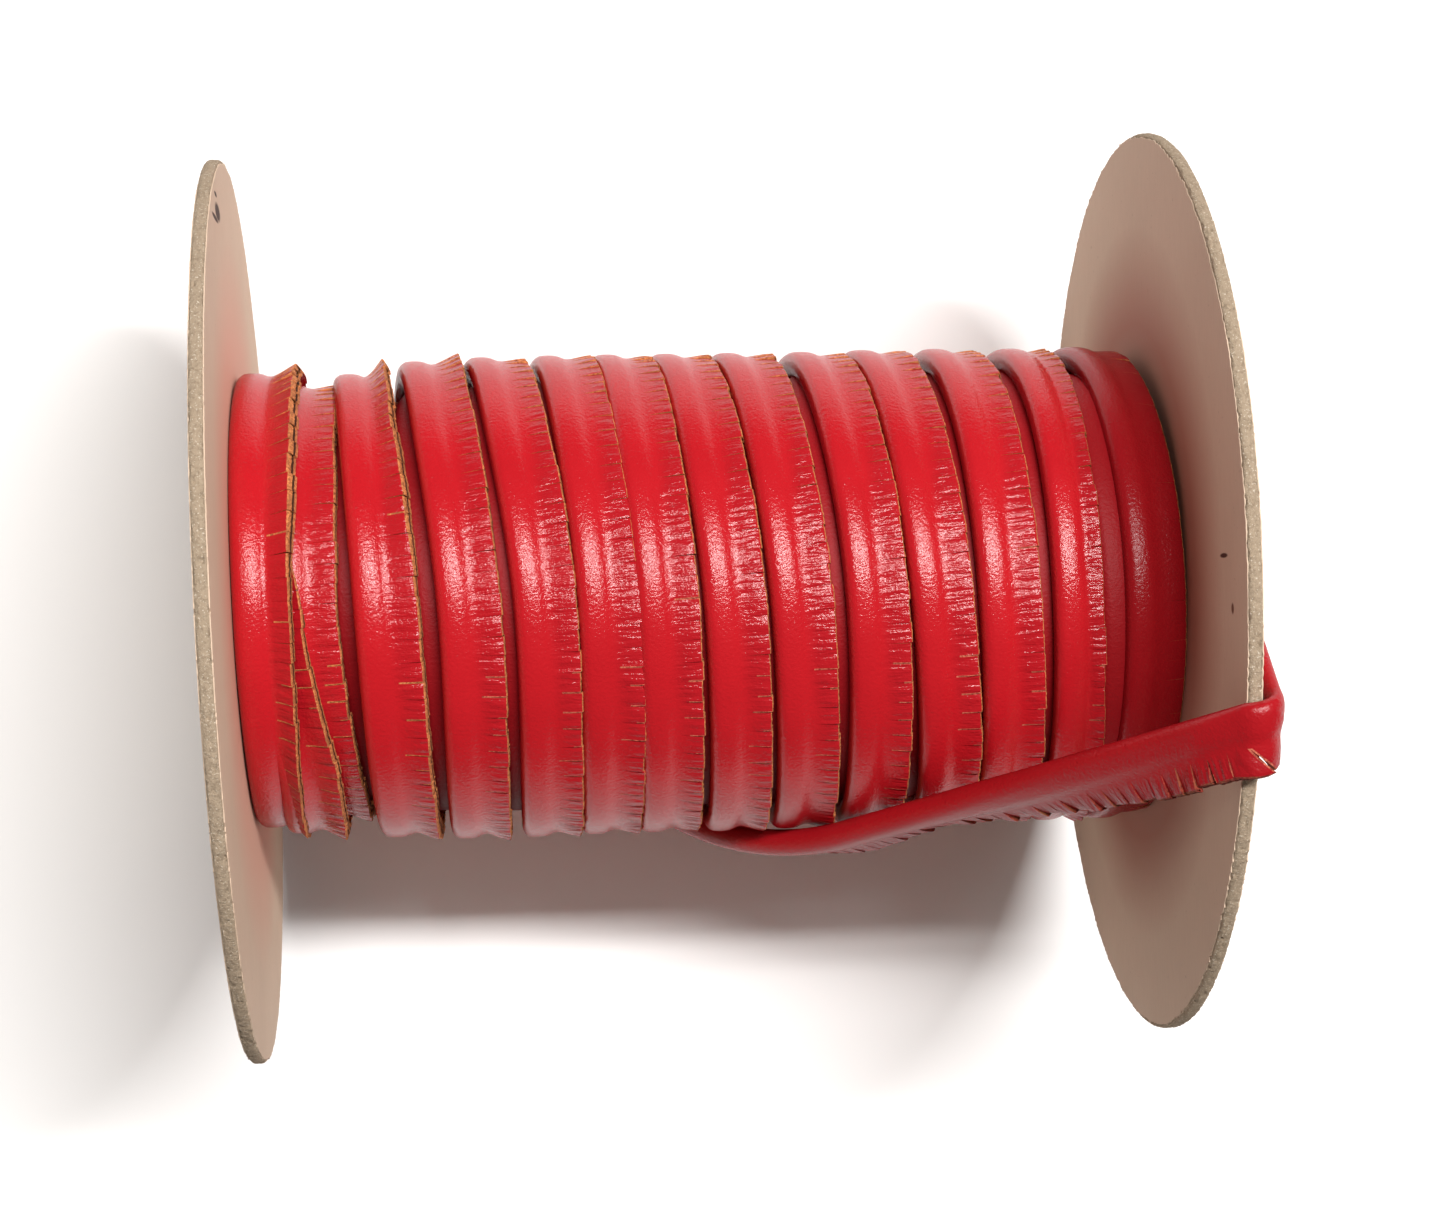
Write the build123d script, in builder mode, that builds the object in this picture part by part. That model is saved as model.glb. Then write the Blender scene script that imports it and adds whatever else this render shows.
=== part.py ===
"""Chipboard reel wound with leather piping, its free end folded over one rim.

The reel's axis is +X and the origin lies on it, midway between the flanges. Angles
round the axis are counted from +Y towards +Z. The piping is one strip of leather
folded over a filler cord: a round bead with a flat two-ply lip on its +X side. It is
wound in three layers, crosses back over the winding from the left flange, leaves it in
a straight free run, and folds over the right rim.
"""

from build123d import *
import os
from math import cos, pi, radians, sin, sqrt

os.makedirs("parts", exist_ok=True)

# Reel, in millimetres
flange_diameter = 152.4
board_thickness = 2.0
board_edge_round = 0.3
liner_thickness = 0.2
liner_margin = 0.35
traverse = 151.0
arbor_diameter = 25.4
core_diameter = 52.5
core_wrap_thickness = 0.2
core_bore = 46.0

# Piping strip: a cord under folded leather
bead_diameter = 4.5
leather_thickness = 0.9
cord_diameter = 2.46
strip_width = 10.0
lip_underside = 0.25
lip_root = 1.5
lip_rise = 0.5

# Winding
winding_clearance = 0.15
layer_gap = 0.25
side_clearance = 0.4
turns_per_layer = 13
winding_angle = 318.0

# Free run, rim fold and tucked end
leave_angle = 162.5
cross_slope = 0.795
cross_overrun = 12.0
cut_gap = 0.15
rim_angle = 105.5
rim_clearance = 0.25
end_length = 55.0
flat_run = 6.0
run_overrun = 9.0
run_stations = 9

# A helix along +X starts on the +Z side, a quarter turn from +Y.
helix_start_angle = 90.0

# Sizes that follow from the ones above
bead_radius = bead_diameter / 2
cord_bore_radius = bead_radius - leather_thickness
lip_thickness = 2 * leather_thickness
flange_radius = flange_diameter / 2
flange_thickness = board_thickness + 2 * liner_thickness
inner_face = traverse / 2
outer_face = inner_face + flange_thickness
core_radius = core_diameter / 2
winding_height = traverse - 2 * side_clearance - strip_width
turn_pitch = winding_height / turns_per_layer
winding_start = bead_radius - inner_face + side_clearance
layer_step = bead_diameter + layer_gap
layer_1_radius = core_radius + winding_clearance + bead_radius
layer_2_radius = layer_1_radius + layer_step
layer_3_radius = layer_2_radius + layer_step
cross_radius = layer_3_radius + bead_diameter + winding_clearance

# Directions of the free run. "Along" is the way the strip is laid, "out" is square to
# its outer side, and "lip" points from the bead to the lip's edge.
axis_x = Vector(1, 0, 0)
leave = radians(leave_angle)
leave_out = Vector(0, cos(leave), sin(leave))
leave_ahead = Vector(0, sin(leave), -cos(leave))
run_along = (axis_x * cross_slope + leave_ahead).normalized()
leave_lip = run_along.cross(leave_out)
rim = radians(rim_angle)
rim_radial = Vector(0, cos(rim), sin(rim))
rim_tangent = Vector(0, sin(rim), -cos(rim))
rim_out = run_along.cross(rim_tangent).normalized()
rim_lip = run_along.cross(rim_out)
rim_ahead = rim_tangent.cross(rim_out)
run_axis = Axis((0, 0, 0), run_along)
run_twist = leave_lip.get_signed_angle(rim_lip, run_along)

# The strip's inner side clears the rim's inner corner, and meets the plane of the
# tucked end on the fold line.
rim_corner = axis_x * inner_face + rim_radial * flange_radius + rim_out * rim_clearance
leave_point = leave_out * cross_radius
leave_x = ((rim_corner - leave_point).dot(rim_out) + bead_radius) / rim_out.X
leave_point = leave_point + axis_x * leave_x
end_plane_x = outer_face + rim_clearance
to_fold = (end_plane_x - rim_corner.X) / rim_ahead.X
fold_line_point = rim_corner + rim_ahead * to_fold
fold_point = leave_point - rim_out * bead_radius
run_length = (fold_line_point - fold_point).dot(rim_ahead) / run_along.dot(rim_ahead)
fold_point = fold_point + run_along * run_length

# The end keeps its angle to the rim as it folds over, as a flat strip does.
rim_share = run_along.dot(rim_tangent)
end_along = rim_tangent * rim_share - rim_radial * sqrt(1 - rim_share**2)
end_lip = end_along.cross(axis_x)
end_start = fold_point + axis_x * bead_radius


def leather_outline():
    """The strip's outer outline, drawn about the centre of its bead."""
    Circle(bead_radius)
    Polygon(
        (lip_root, -lip_underside),
        (strip_width - bead_radius, lip_rise - lip_underside),
        (strip_width - bead_radius, lip_rise - lip_underside + lip_thickness),
        (lip_root, lip_thickness - lip_underside),
        align=None,
    )


def leather_section():
    """The folded leather with the channel that the cord lies in."""
    leather_outline()
    Circle(cord_bore_radius, mode=Mode.SUBTRACT)


def cord_section():
    """The round filler cord."""
    Circle(cord_diameter / 2)


def helix_path(radius, start_x, height, pitch, lefthand):
    """A helix round the reel's axis that starts at the winding's left end."""
    turn = Rotation(winding_angle - helix_start_angle, 0, 0)
    return turn * Helix(
        pitch,
        height,
        radius,
        center=(start_x, 0, 0),
        direction=(1, 0, 0),
        lefthand=lefthand,
        mode=Mode.PRIVATE,
    )


def section_plane(path, lefthand):
    """The plane square to a helix at its start, with +X to the right and out up."""
    ahead = path % 0
    return Plane(origin=path @ 0, x_dir=(1, 0, 0), z_dir=-ahead if lefthand else ahead)


def save(piece, name):
    """Label a finished piece and write it."""
    piece.label = name
    export_step(piece, f"parts/{name}.step")


# Flanges: a chipboard disc between two paper liners, with the arbor hole through all.
for side, sign in (("left", -1), ("right", 1)):
    inner_plane = Plane(origin=(sign * inner_face, 0, 0), z_dir=(sign, 0, 0))
    board_plane = inner_plane.offset(liner_thickness)
    outer_plane = board_plane.offset(board_thickness)

    with BuildPart() as flange_board:
        with BuildSketch(board_plane):
            Circle(flange_radius)
            Circle(arbor_diameter / 2, mode=Mode.SUBTRACT)
        extrude(amount=board_thickness)
        rim_edges = flange_board.edges().filter_by(GeomType.CIRCLE).sort_by(SortBy.RADIUS)
        fillet(rim_edges[-2:], board_edge_round)
    save(flange_board.part, f"{side}_flange_board")

    with BuildPart() as inner_liner:
        with BuildSketch(inner_plane):
            Circle(flange_radius - liner_margin)
            Circle(arbor_diameter / 2, mode=Mode.SUBTRACT)
        extrude(amount=liner_thickness)
    save(inner_liner.part, f"{side}_flange_inner_liner")

    with BuildPart() as outer_liner:
        with BuildSketch(outer_plane):
            Circle(flange_radius - liner_margin)
            Circle(arbor_diameter / 2, mode=Mode.SUBTRACT)
        extrude(amount=liner_thickness)
    save(outer_liner.part, f"{side}_flange_outer_liner")

# Core: a cardboard tube between the flanges, with one outer ply of smooth paper.
with BuildPart() as core_tube:
    with BuildSketch(Plane.YZ.offset(-inner_face)):
        Circle(core_radius - core_wrap_thickness)
        Circle(core_bore / 2, mode=Mode.SUBTRACT)
    extrude(amount=traverse)
save(core_tube.part, "core_tube")

with BuildPart() as core_tube_wrap:
    with BuildSketch(Plane.YZ.offset(-inner_face)):
        Circle(core_radius)
        Circle(core_radius - core_wrap_thickness, mode=Mode.SUBTRACT)
    extrude(amount=traverse)
save(core_tube_wrap.part, "core_tube_wrap")

# Wound layers: the middle one runs the other way, because the strip comes back.
layers = (
    ("layer_1", layer_1_radius, False),
    ("layer_2", layer_2_radius, True),
    ("layer_3", layer_3_radius, False),
)
for layer_name, radius, lefthand in layers:
    layer_path = helix_path(radius, winding_start, winding_height, turn_pitch, lefthand)
    layer_plane = section_plane(layer_path, lefthand)

    with BuildPart() as layer_leather:
        with BuildSketch(layer_plane):
            leather_section()
        sweep(path=layer_path, is_frenet=True)
    save(layer_leather.part, f"{layer_name}_leather")

    with BuildPart() as layer_cord:
        with BuildSketch(layer_plane):
            cord_section()
        sweep(path=layer_path, is_frenet=True)
    save(layer_cord.part, f"{layer_name}_cord")

# Crossover: the strip comes back over the last layer in a steep helix, and ends at the
# radial plane where it leaves the winding.
cross_arc = radians(winding_angle - leave_angle)
cross_rise = cross_slope * cross_radius
cross_start = leave_point.X - cross_rise * cross_arc
cross_height = cross_rise * (cross_arc + radians(cross_overrun))
cross_path = helix_path(cross_radius, cross_start, cross_height, 2 * pi * cross_rise, True)
cross_plane = section_plane(cross_path, True)
leave_plane = Plane(origin=(0, 0, 0), x_dir=(1, 0, 0), z_dir=leave_ahead)

with BuildPart() as crossover_leather:
    with BuildSketch(cross_plane):
        leather_section()
    sweep(path=cross_path, is_frenet=True)
    split(bisect_by=leave_plane, keep=Keep.BOTTOM)
save(crossover_leather.part, "crossover_leather")

with BuildPart() as crossover_cord:
    with BuildSketch(cross_plane):
        cord_section()
    sweep(path=cross_path, is_frenet=True)
    split(bisect_by=leave_plane, keep=Keep.BOTTOM)
save(crossover_cord.part, "crossover_cord")

# Free run: the strip turns about its bead from lying on the winding to lying over the
# rim. It is cut off by the leaving plane and by the plane through the fold line.
run_start_plane = leave_plane.offset(cut_gap)
run_end_plane = Plane(
    origin=fold_line_point - rim_ahead * cut_gap, x_dir=rim_tangent, z_dir=rim_ahead
)
run_back = leave_point - run_along * run_overrun
run_reach = run_length + 2 * run_overrun


def run_plane(share):
    """The plane across the free run at a share of its length, turned with the strip."""
    distance = flat_run + share * (run_length - 2 * flat_run)
    eased = share * share * (3 - 2 * share)
    return Plane(
        origin=leave_point + run_along * distance,
        x_dir=leave_lip.rotate(run_axis, run_twist * eased),
        z_dir=-run_along,
    )


with BuildPart() as tail_run_leather:
    with BuildSketch(Plane(origin=run_back, x_dir=leave_lip, z_dir=-run_along)):
        leather_outline()
    for station in range(run_stations):
        with BuildSketch(run_plane(station / (run_stations - 1))):
            leather_outline()
    with BuildSketch(
        Plane(origin=run_back + run_along * run_reach, x_dir=rim_lip, z_dir=-run_along)
    ):
        leather_outline()
    loft(ruled=True)
    with BuildSketch(Plane(origin=run_back, z_dir=run_along)):
        Circle(cord_bore_radius)
    extrude(amount=run_reach, mode=Mode.SUBTRACT)
    split(bisect_by=run_start_plane, keep=Keep.TOP)
    split(bisect_by=run_end_plane, keep=Keep.BOTTOM)
save(tail_run_leather.part, "tail_run_leather")

with BuildPart() as tail_run_cord:
    with BuildSketch(Plane(origin=run_back, z_dir=run_along)):
        cord_section()
    extrude(amount=run_reach)
    split(bisect_by=run_start_plane, keep=Keep.TOP)
    split(bisect_by=run_end_plane, keep=Keep.BOTTOM)
save(tail_run_cord.part, "tail_run_cord")

# Tucked end: the strip lies flat on the right flange's outer face.
end_back_plane = Plane(
    origin=end_start - end_along * run_overrun, x_dir=end_lip, z_dir=-end_along
)
end_cut_plane = Plane(
    origin=fold_line_point - rim_radial * cut_gap, x_dir=rim_tangent, z_dir=-rim_radial
)

with BuildPart() as tail_end_leather:
    with BuildSketch(end_back_plane):
        leather_section()
    extrude(amount=-(run_overrun + end_length))
    split(bisect_by=end_cut_plane, keep=Keep.TOP)
save(tail_end_leather.part, "tail_end_leather")

with BuildPart() as tail_end_cord:
    with BuildSketch(end_back_plane):
        cord_section()
    extrude(amount=-(run_overrun + end_length))
    split(bisect_by=end_cut_plane, keep=Keep.TOP)
save(tail_end_cord.part, "tail_end_cord")
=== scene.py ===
"""The looks of a chipboard reel wound with snipped red leather piping.

Lengths inside this script are millimetres until a mesh is written, and the frame is the
CAD's: the reel's axis is +X, angles round it are counted from +Y towards +Z.
"""
import math

import bmesh
import bpy
import numpy as np
from mathutils import Matrix, Vector


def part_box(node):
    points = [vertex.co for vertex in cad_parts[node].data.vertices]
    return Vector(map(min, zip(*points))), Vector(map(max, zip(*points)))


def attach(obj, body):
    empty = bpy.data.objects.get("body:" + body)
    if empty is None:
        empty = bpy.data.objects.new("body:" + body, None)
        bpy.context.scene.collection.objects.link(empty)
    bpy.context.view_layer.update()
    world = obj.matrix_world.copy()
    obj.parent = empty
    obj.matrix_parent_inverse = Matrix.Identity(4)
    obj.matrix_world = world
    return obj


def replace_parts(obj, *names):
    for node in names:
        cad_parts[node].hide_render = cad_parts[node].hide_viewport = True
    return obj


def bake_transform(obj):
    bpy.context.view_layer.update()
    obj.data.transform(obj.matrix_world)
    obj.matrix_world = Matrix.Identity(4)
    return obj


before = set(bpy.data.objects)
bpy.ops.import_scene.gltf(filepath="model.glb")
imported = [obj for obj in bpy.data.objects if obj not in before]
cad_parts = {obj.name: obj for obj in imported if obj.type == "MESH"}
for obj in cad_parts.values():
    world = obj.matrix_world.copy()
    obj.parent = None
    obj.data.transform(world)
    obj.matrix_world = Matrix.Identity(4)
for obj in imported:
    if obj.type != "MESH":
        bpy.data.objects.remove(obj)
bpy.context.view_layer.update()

MM = 0.001

# ---------------------------------------------------------------- sizes from the frame


def node_box(node):
    """A CAD node's lowest and highest corners, in millimetres."""
    low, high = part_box(node)
    return np.array(low) / MM, np.array(high) / MM


INNER_FACE = node_box("right_flange_inner_liner")[0][0]
BOARD_IN = node_box("right_flange_board")[0][0]
BOARD_OUT = node_box("right_flange_board")[1][0]
OUTER_FACE = node_box("right_flange_outer_liner")[1][0]
FLANGE_RADIUS = node_box("right_flange_board")[1][2]
LINER_RADIUS = node_box("right_flange_inner_liner")[1][2]
BORE_RADIUS = 12.7


def half_width(node):
    """Half a node's size along the axis."""
    low, high = node_box(node)
    return (high[0] - low[0]) / 2


BEAD = half_width("tail_end_leather")
CORD = half_width("tail_end_cord")
# Radii of the bead's centre in the inner and outer layers and in the crossover above them.
LAYER_1 = 28.65
LAYER_3 = 38.15
CROSS = 42.8
FLOOR_Z = -FLANGE_RADIUS

# ------------------------------------------------------------------- the strip's section
# Rows are (across, outwards) from the bead's centre. The lip is snipped from SNIP_ROOT on.
LIP_EDGE = 7.75
SNIP_ROOT = 3.9
VALLEY = 2.45
TOP_OF_LIP = 1.82
OUTER_SIDE = 0.95
TOP_ROOT_ROWS = [(3.9, 1.54), (3.4, 1.58), (2.95, 1.69), (2.5, 1.87), (2.0, 2.07)]
TOP_ROOT_ROWS += [(1.5, 2.19), (0.9, 2.25), (0.2, 2.26), (-0.45, 2.23), (-1.0, 2.13)]
BEAD_ANGLES = [128, 140, 154, 176, 205, 235, 265, 295, 325, 350]
BEAD_SQUARENESS = 2.4
UNDER_ROOT_ROWS = [(3.0, -0.3), (3.9, -0.22)]
UNDER_LIP_ROWS = [(4.6, -0.2), (5.4, -0.15), (6.3, -0.05), (7.15, 0.05), (7.75, 0.1)]
EDGE_ROWS = [(7.78, 0.62), (7.42, 0.7), (7.76, 1.02), (7.72, 1.6)]
TOP_LIP_ROWS = [(7.56, 1.82), (7.1, 1.83), (6.3, 1.78), (5.4, 1.68), (4.6, 1.58)]
# The groove's two rows in the raw edge; their faces are painted dark as painted shade in the
# groove.
GROOVE_ROWS = (1, 2)
SNIP_SPACING = 3.15
SNIP_SCATTER = 0.55
SNIP_BORDER = 0.04
FRAYED_EDGE = 0.07
WHOLE, RAW, LINE, GROOVE_SHADE = range(4)


def section_rows():
    """The outline in two open runs: the part left whole, and the part that is snipped."""
    bead = []
    for angle in BEAD_ANGLES:
        across, outwards = math.cos(math.radians(angle)), math.sin(math.radians(angle))
        power = 2 / BEAD_SQUARENESS if outwards > 0 else 1.0
        across = math.copysign(abs(across) ** power, across)
        outwards = math.copysign(abs(outwards) ** power, outwards)
        bead.append((BEAD * across, BEAD * outwards))
    whole = np.array(TOP_ROOT_ROWS + bead + UNDER_ROOT_ROWS)
    snipped = np.array(UNDER_LIP_ROWS + EDGE_ROWS + TOP_LIP_ROWS)
    return whole, snipped


def smooth(low, high, value):
    """0 below low, 1 above high, and an eased rise between them."""
    share = np.clip((np.asarray(value, float) - low) / (high - low), 0, 1)
    return share * share * (3 - 2 * share)


def wave(value, seed, lengths):
    """Gentle repeatable variation: a few sines of the given lengths, about +-1."""
    rng = np.random.default_rng(seed)
    total = 0 * np.asarray(value, float)
    for length in lengths:
        total = total + np.sin(2 * math.pi * value / length + rng.uniform(0, 6.28))
    return total / len(lengths)


def unit(vectors):
    """The vectors at length 1."""
    return vectors / np.linalg.norm(vectors, axis=-1, keepdims=True)


def curve(knots, values):
    """A smooth function through the knots, flat beyond its ends."""
    knots, values = np.array(knots, float), np.array(values, float)
    slopes = np.gradient(values, knots)
    secant = np.diff(values) / np.diff(knots)
    for i in range(len(secant)):
        limit = 3 * abs(secant[i])
        slopes[i] = np.clip(slopes[i], -limit, limit)
        slopes[i + 1] = np.clip(slopes[i + 1], -limit, limit)

    def evaluate(x):
        x = np.clip(np.asarray(x, float), knots[0], knots[-1])
        i = np.clip(np.searchsorted(knots, x) - 1, 0, len(knots) - 2)
        step = knots[i + 1] - knots[i]
        t = (x - knots[i]) / step
        a, b = values[i], values[i + 1]
        p, q = slopes[i] * step, slopes[i + 1] * step
        return (
            (2 * t**3 - 3 * t**2 + 1) * a
            + (t**3 - 2 * t**2 + t) * p
            + (3 * t**2 - 2 * t**3) * b
            + (t**3 - t**2) * q
        )

    return evaluate


# ------------------------------------------------------------------------- strip paths


class WoundPath:
    """A strip wound round the axis: bead centre x and radius as functions of the angle."""

    def __init__(self, first, last, centre_x, radius, seed=1):
        fine = np.linspace(first, last, int(abs(last - first) * 3) + 2)
        self.centre_x, self.radius, self.seed = centre_x, radius, seed
        self.fine = fine
        points = self.at_angle(fine)
        steps = np.linalg.norm(np.diff(points, axis=0), axis=1)
        self.length_at = np.concatenate([[0], np.cumsum(steps)])
        self.length = self.length_at[-1]

    def at_angle(self, angle):
        turn, r = np.radians(angle), self.radius(angle)
        return np.stack(
            [self.centre_x(angle) + 0 * turn, r * np.cos(turn), r * np.sin(turn)], -1
        )

    def angle(self, s):
        return np.interp(s, self.length_at, self.fine)

    def s_of(self, angle):
        sign = 1 if self.fine[-1] > self.fine[0] else -1
        return np.interp(sign * np.asarray(angle), sign * self.fine, self.length_at)

    def frame(self, s):
        angle = self.angle(s)
        step = 0.05 * (1 if self.fine[-1] > self.fine[0] else -1)
        centre = self.at_angle(angle)
        ahead = unit(self.at_angle(angle + step) - self.at_angle(angle - step))
        turn = np.radians(angle)
        out = np.stack([0 * turn, np.cos(turn), np.sin(turn)], -1)
        lip = unit(np.cross(out, ahead))
        lip = lip * np.sign(lip[..., :1])
        out = unit(out - ahead * np.sum(out * ahead, -1, keepdims=True))
        return centre, ahead, out, lip

    def place(self, s, a, b, along):
        centre, ahead, out, lip = self.frame(s)
        return (
            centre[..., None, :]
            + lip[..., None, :] * a[..., None]
            + out[..., None, :] * b[..., None]
            + ahead[..., None, :] * along[..., None]
        )


CHANCES = np.random.default_rng(20).random((32, 4096))


def snip_places(numbers, seed):
    """Arc lengths of the snips: evenly spaced by hand, so each a little off."""
    numbers = np.asarray(numbers)
    return numbers * SNIP_SPACING + SNIP_SCATTER * (chance(numbers, seed) - 0.5)


def chance(numbers, seed):
    """A repeatable value from 0 to 1 for each number."""
    return CHANCES[seed, np.asarray(numbers, int) % CHANCES.shape[1]]


def build_strip(name, path, cells, shape, paints, columns=7, thin=1):
    """The leather skin of the strip between two snips, as one closed mesh.

    shape(s, snip) gives the strip's local values: flare turns the whole lip outwards, lift,
    tilt, crown, gap and skew move the flap between two snips, reach and uneven lengthen the
    lip, bevel slants its edge, wrinkle sets the creases' height, calm shifts where the lip's
    shading starts, and bare says whether raw leather shows beside the snip.
    """
    first, last = cells
    whole, snipped = section_rows()
    if thin > 1:
        whole = np.concatenate([whole[:-1:thin], whole[-1:]])
    under, top, edge = len(UNDER_LIP_ROWS), len(TOP_LIP_ROWS), len(EDGE_ROWS)
    count = last - first
    inner = np.linspace(SNIP_BORDER, 1 - SNIP_BORDER, columns)
    shares = np.concatenate([[0.0], inner, [1.0]])
    m = len(shares) - 1
    snips = np.arange(first, last)
    s_edges = snip_places(np.arange(first, last + 1), path.seed)
    width = np.diff(s_edges)
    s = s_edges[:-1, None] + width[:, None] * shares[None, :]

    def surface(s_values, rows, snip, share, cut):
        sh = shape(s_values, snip[:, None])
        sh = {key: (0 * s_values + value)[..., None] for key, value in sh.items()}
        base_b = rows[:, 1][None, None, :]
        a = rows[:, 0][None, None, :] + 0 * s_values[..., None]
        b = base_b + 0 * a
        lip_share = np.clip((a - VALLEY) / (LIP_EDGE - VALLEY), 0, 1.05)
        cut_share = np.clip((a - SNIP_ROOT) / (LIP_EDGE - SNIP_ROOT), 0, 1.05)
        side = (2 * share - 1)[None, :, None]
        c = cut_share if cut else 0 * cut_share
        b = b + sh["flare"] * lip_share**1.6
        b = b + sh["lift"] * c**1.3 + sh["tilt"] * side * c**0.8
        b = b - sh["crown"] * side**2 * c
        a = a + sh["reach"] * lip_share + sh["uneven"] * c
        a = a + FRAYED_EDGE * wave(s_values[..., None], 31, [0.8, 1.3, 2.9]) * c**3
        at_edge = smooth(6.9, 7.5, rows[:, 0])[None, None, :]
        a = a + sh["bevel"] * at_edge * (1 - base_b / TOP_OF_LIP)
        outer = (base_b > OUTER_SIDE) * smooth(0.02, 0.45, lip_share)
        crease = wave(s_values[..., None] + 0.25 * a, 5, [1.05, 1.45, 2.1, 3.3])
        b = b + outer * sh["wrinkle"] * crease
        along = -side * sh["gap"] * c**0.7 + sh["skew"] * c
        return path.place(s_values, a, b, along)

    whole_points = surface(s[:, :-1], whole, snips, shares[:-1], False)
    end_points = surface(s[-1:, -1:], whole, snips[-1:], np.array([0.0]), False)
    snip_points = surface(s, snipped, snips, shares, True)
    rows_w, rows_s = len(whole), len(snipped)
    points = np.concatenate(
        [p.reshape(-1, 3) for p in (whole_points, end_points, snip_points)]
    )
    w_index = np.arange((count * m + 1) * rows_w).reshape(-1, rows_w)
    s_index = w_index.size + np.arange(count * (m + 1) * rows_s)
    s_index = s_index.reshape(count, m + 1, rows_s)
    w_cell = w_index[(np.arange(count) * m)[:, None] + np.arange(m + 1)[None, :]]

    def quads(grid):
        corners = grid[..., :-1, :-1], grid[..., 1:, :-1], grid[..., 1:, 1:], grid[..., :-1, 1:]
        return np.stack(corners, -1).reshape(-1, 4)

    faces, marks = [], []

    def add(block, mark):
        faces.extend(block.tolist())
        marks.extend((np.zeros(len(block), int) + mark).tolist())

    add(quads(w_index), WHOLE)
    ring = np.concatenate([w_cell[..., -1:], s_index, w_cell[..., :1]], -1)

    def bare_rows(at, snip):
        """How many rows in from the edge show raw leather beside a snip."""
        bare = (shape(at, snip[:, None])["bare"] + 0 * at).ravel() > 0.5
        return bare * (2 + (4 * chance(snip, 15)).astype(int))

    bare_first, bare_last = bare_rows(s[:, :1], snips), bare_rows(s[:, -1:], snips + 1)
    for row in range(ring.shape[-1] - 1):
        strip = ring[:, :, row : row + 2]
        if under <= row <= under + edge:
            add(quads(strip), GROOVE_SHADE if row - under in GROOVE_ROWS else RAW)
        elif row > under + edge:
            depth = row - under - edge - 1
            add(quads(strip[:, 1:-1]), WHOLE)
            add(quads(strip[:, :2]), LINE * (bare_first > depth))
            add(quads(strip[:, -2:]), LINE * (bare_last > depth))
        else:
            add(quads(strip), WHOLE)
    low = np.concatenate([w_cell[..., -1:], s_index[..., :under]], -1)
    high = np.concatenate([w_cell[..., :1], s_index[..., ::-1][..., :top]], -1)
    for col in (0, m):
        lo, hi = low[:, col], high[:, col]
        block = np.stack([lo[:, :-1], lo[:, 1:], hi[:, 1:], hi[:, :-1]], -1)
        add(block.reshape(-1, 4), RAW)
        add(s_index[:, col, under - 1 : under + edge + 1], RAW)
    for cap in (w_index[0], w_index[-1]):
        add(cap[None, :], RAW)

    mesh = bpy.data.meshes.new(name)
    mesh.from_pydata((points * MM).tolist(), [], faces)
    mesh.polygons.foreach_set("material_index", np.array(marks, np.int32))
    mesh.polygons.foreach_set("use_smooth", np.ones(len(faces), bool))
    along = np.concatenate(
        [
            np.repeat(s[:, :-1].ravel(), rows_w),
            np.repeat(s_edges[-1], rows_w),
            np.repeat(s.ravel(), rows_s),
        ]
    )
    calm = shape(s, snips[:, None])["calm"] + 0 * s
    whole_calm = np.append(calm[:, :-1], calm[-1, -1])
    across = np.concatenate(
        [
            (whole[:, 0] + BEAD - whole_calm[:, None]).ravel(),
            (snipped[:, 0] + BEAD - calm[..., None]).ravel(),
        ]
    )
    put_strip_map(mesh, along, across)
    outward(mesh)
    return put_piece(name, mesh, paints, 50)


def put_strip_map(mesh, along, across):
    """Stores millimetres along and across the strip, which the creases are drawn by."""
    corner = np.zeros(len(mesh.loops), np.int32)
    mesh.loops.foreach_get("vertex_index", corner)
    layer = mesh.uv_layers.new(name="strip")
    flat = np.stack([along[corner], across[corner]], -1).astype(np.float32)
    layer.data.foreach_set("uv", flat.ravel())


def outward(mesh):
    """Turns every face to look out of its closed mesh."""
    work = bmesh.new()
    work.from_mesh(mesh)
    bmesh.ops.recalc_face_normals(work, faces=work.faces)
    work.to_mesh(mesh)
    work.free()


def put_piece(name, mesh, materials, sharp=None):
    """Puts a mesh in the scene; edges that turn by more than sharp degrees stay sharp."""
    for material in materials:
        mesh.materials.append(material)
    mesh.update()
    if sharp:
        mesh.set_sharp_from_angle(angle=math.radians(sharp))
    piece = bpy.data.objects.new(name, mesh)
    bpy.context.scene.collection.objects.link(piece)
    return piece


def build_cord(name, path, s_first, s_last, step=1.5, sides=10):
    """The round filler cord inside the bead."""
    count = max(2, int((s_last - s_first) / step))
    s = np.linspace(s_first, s_last, count)[:, None]
    turn = np.linspace(0, 2 * math.pi, sides, endpoint=False)
    ridge = CORD * (1 + 0.03 * np.cos(3 * turn[None, :] + s * 1.3))
    a = (ridge * np.cos(turn))[:, None, :]
    b = (ridge * np.sin(turn))[:, None, :]
    points = path.place(s, a, b, 0 * a).reshape(-1, 3)
    index = np.arange(count * sides).reshape(count, sides)
    beside = np.roll(index, -1, axis=1)
    walls = np.stack([index[:-1], beside[:-1], beside[1:], index[1:]], -1)
    faces = walls.reshape(-1, 4).tolist() + [index[0].tolist(), index[-1].tolist()]
    mesh = bpy.data.meshes.new(name)
    mesh.from_pydata((points * MM).tolist(), [], faces)
    mesh.polygons.foreach_set("use_smooth", np.ones(len(faces), bool))
    outward(mesh)
    return put_piece(name, mesh, [cotton], 50)


# ---------------------------------------------------------------------------- materials


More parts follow.
